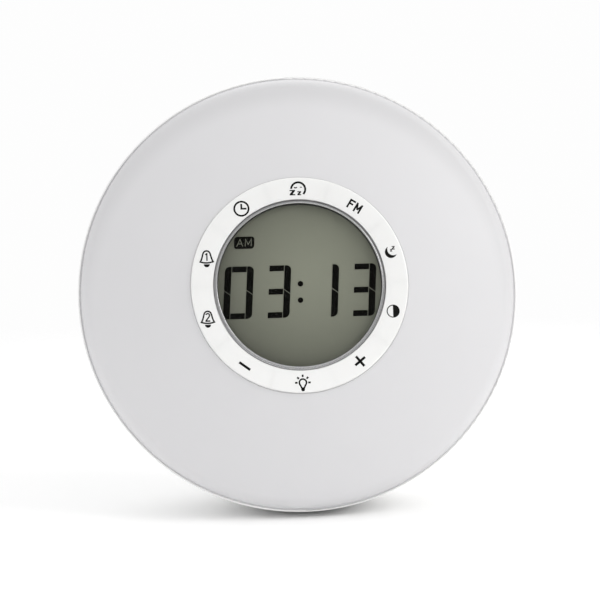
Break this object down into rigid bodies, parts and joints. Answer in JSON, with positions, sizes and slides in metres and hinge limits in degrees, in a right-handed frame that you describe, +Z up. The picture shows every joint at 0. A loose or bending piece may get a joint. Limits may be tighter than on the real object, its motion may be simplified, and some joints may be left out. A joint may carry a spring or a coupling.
{
  "type": "sunrise alarm clock",
  "caption": "Round wake-up lamp clock that leans back on a low foot, with a ring of keys round a digital display, a speaker and a battery door in its back.",
  "frame": {"origin": "centre of the foot pad's underside, on the surface the clock stands on", "axes": "+Z up, -Y towards the viewer of the display, +X to the viewer's right"},
  "size_m": [0.18, 0.1031, 0.1773],
  "materials": {
    "housing_plastic": "fine satin moulding",
    "diffuser_plastic": "frosted translucent moulding",
    "key_plastic": "satin moulding with printed symbols",
    "bezel_chrome": "bright plated",
    "window_clear": "clear polished",
    "lcd_glass": "matt polariser over grey-green liquid crystal",
    "segment_black": "matt black segments",
    "dark_plastic": "matt black",
    "inner_white": "plain white moulding",
    "silicone": "layered conductive silicone",
    "circuit_board": "green solder mask",
    "led_package": "yellow phosphor in a white package",
    "speaker_steel": "black pressed steel",
    "magnet": "dark ferrite between zinc plates",
    "cone_paper": "black pulp",
    "coil_copper": "enamelled copper winding",
    "roll_rubber": "matt black",
    "screw_steel": "zinc plated",
    "cell_sleeve": "plain printed sleeve, no lettering",
    "contact_metal": "nickel plated",
    "pad_rubber": "matt grey",
    "wire_skin": "soft insulation"
  },
  "bodies": {
    "clock_body": {"rear_housing": "housing_plastic", "diffuser": "diffuser_plastic", "display_bezel": "bezel_chrome", "display_window": "window_clear", "lcd_segments": "segment_black", "lcd_panel": "lcd_glass", "backlight_guide": "inner_white", "lcd_frame": "dark_plastic", "contact_strips": "silicone", "display_housing": "inner_white", "control_board": "circuit_board", "switch_bodies": "dark_plastic", "chassis": "inner_white", "led_board": "circuit_board", "leds": "led_package", "reflector": "inner_white", "speaker_grille": "housing_plastic", "speaker_frame": "speaker_steel", "speaker_magnet": "magnet", "speaker_surround": "roll_rubber", "speaker_screws": "screw_steel", "battery_cells": "cell_sleeve", "battery_contacts": "contact_metal", "main_board": "circuit_board", "board_components": "dark_plastic", "power_socket": "contact_metal", "antenna_grommet": "roll_rubber", "housing_screws": "screw_steel", "board_screws": "screw_steel", "pod_screws": "screw_steel", "foot_pad": "pad_rubber", "display_ribbon": "wire_skin", "led_lead": "wire_skin", "speaker_lead": "wire_skin", "battery_lead": "wire_skin"},
    "snooze_key": {"key_snooze": "key_plastic", "switch_stem_snooze": "dark_plastic"},
    "radio_key": {"key_radio": "key_plastic", "switch_stem_radio": "dark_plastic"},
    "sleep_key": {"key_sleep": "key_plastic", "switch_stem_sleep": "dark_plastic"},
    "contrast_key": {"key_contrast": "key_plastic", "switch_stem_contrast": "dark_plastic"},
    "plus_key": {"key_plus": "key_plastic", "switch_stem_plus": "dark_plastic"},
    "light_key": {"key_light": "key_plastic", "switch_stem_light": "dark_plastic"},
    "minus_key": {"key_minus": "key_plastic", "switch_stem_minus": "dark_plastic"},
    "alarm_2_key": {"key_alarm_2": "key_plastic", "switch_stem_alarm_2": "dark_plastic"},
    "alarm_1_key": {"key_alarm_1": "key_plastic", "switch_stem_alarm_1": "dark_plastic"},
    "clock_key": {"key_clock": "key_plastic", "switch_stem_clock": "dark_plastic"},
    "cone_unit": {"speaker_cone": "cone_paper", "dust_cap": "cone_paper", "voice_coil": "coil_copper"},
    "door_unit": {"battery_door": "housing_plastic"}
  },
  "joints": [
    {"name": "snooze_press", "type": "slide", "parent": "clock_body", "child": "snooze_key", "axis": [0, 0.9703, -0.2419], "range_m": [0, 0.0005], "stiffness_N_per_m": 800, "springref_m": -0.0008},
    {"name": "radio_press", "type": "slide", "parent": "clock_body", "child": "radio_key", "axis": [0, 0.9703, -0.2419], "range_m": [0, 0.0005], "stiffness_N_per_m": 800, "springref_m": -0.0008},
    {"name": "sleep_press", "type": "slide", "parent": "clock_body", "child": "sleep_key", "axis": [0, 0.9703, -0.2419], "range_m": [0, 0.0005], "stiffness_N_per_m": 800, "springref_m": -0.0008},
    {"name": "contrast_press", "type": "slide", "parent": "clock_body", "child": "contrast_key", "axis": [0, 0.9703, -0.2419], "range_m": [0, 0.0005], "stiffness_N_per_m": 800, "springref_m": -0.0008},
    {"name": "plus_press", "type": "slide", "parent": "clock_body", "child": "plus_key", "axis": [0, 0.9703, -0.2419], "range_m": [0, 0.0005], "stiffness_N_per_m": 800, "springref_m": -0.0008},
    {"name": "light_press", "type": "slide", "parent": "clock_body", "child": "light_key", "axis": [0, 0.9703, -0.2419], "range_m": [0, 0.0005], "stiffness_N_per_m": 800, "springref_m": -0.0008},
    {"name": "minus_press", "type": "slide", "parent": "clock_body", "child": "minus_key", "axis": [0, 0.9703, -0.2419], "range_m": [0, 0.0005], "stiffness_N_per_m": 800, "springref_m": -0.0008},
    {"name": "alarm_2_press", "type": "slide", "parent": "clock_body", "child": "alarm_2_key", "axis": [0, 0.9703, -0.2419], "range_m": [0, 0.0005], "stiffness_N_per_m": 800, "springref_m": -0.0008},
    {"name": "alarm_1_press", "type": "slide", "parent": "clock_body", "child": "alarm_1_key", "axis": [0, 0.9703, -0.2419], "range_m": [0, 0.0005], "stiffness_N_per_m": 800, "springref_m": -0.0008},
    {"name": "clock_press", "type": "slide", "parent": "clock_body", "child": "clock_key", "axis": [0, 0.9703, -0.2419], "range_m": [0, 0.0005], "stiffness_N_per_m": 800, "springref_m": -0.0008},
    {"name": "cone_drive", "type": "slide", "parent": "clock_body", "child": "cone_unit", "axis": [0, 0.9703, -0.2419], "range_m": [-0.001, 0.001], "stiffness_N_per_m": 1500},
    {"name": "battery_door_hinge", "type": "hinge", "parent": "clock_body", "child": "door_unit", "pos_m": [0, 0.0255, 0.04053], "axis": [-1, 0, 0], "range_deg": [0, 100]}
  ]
}
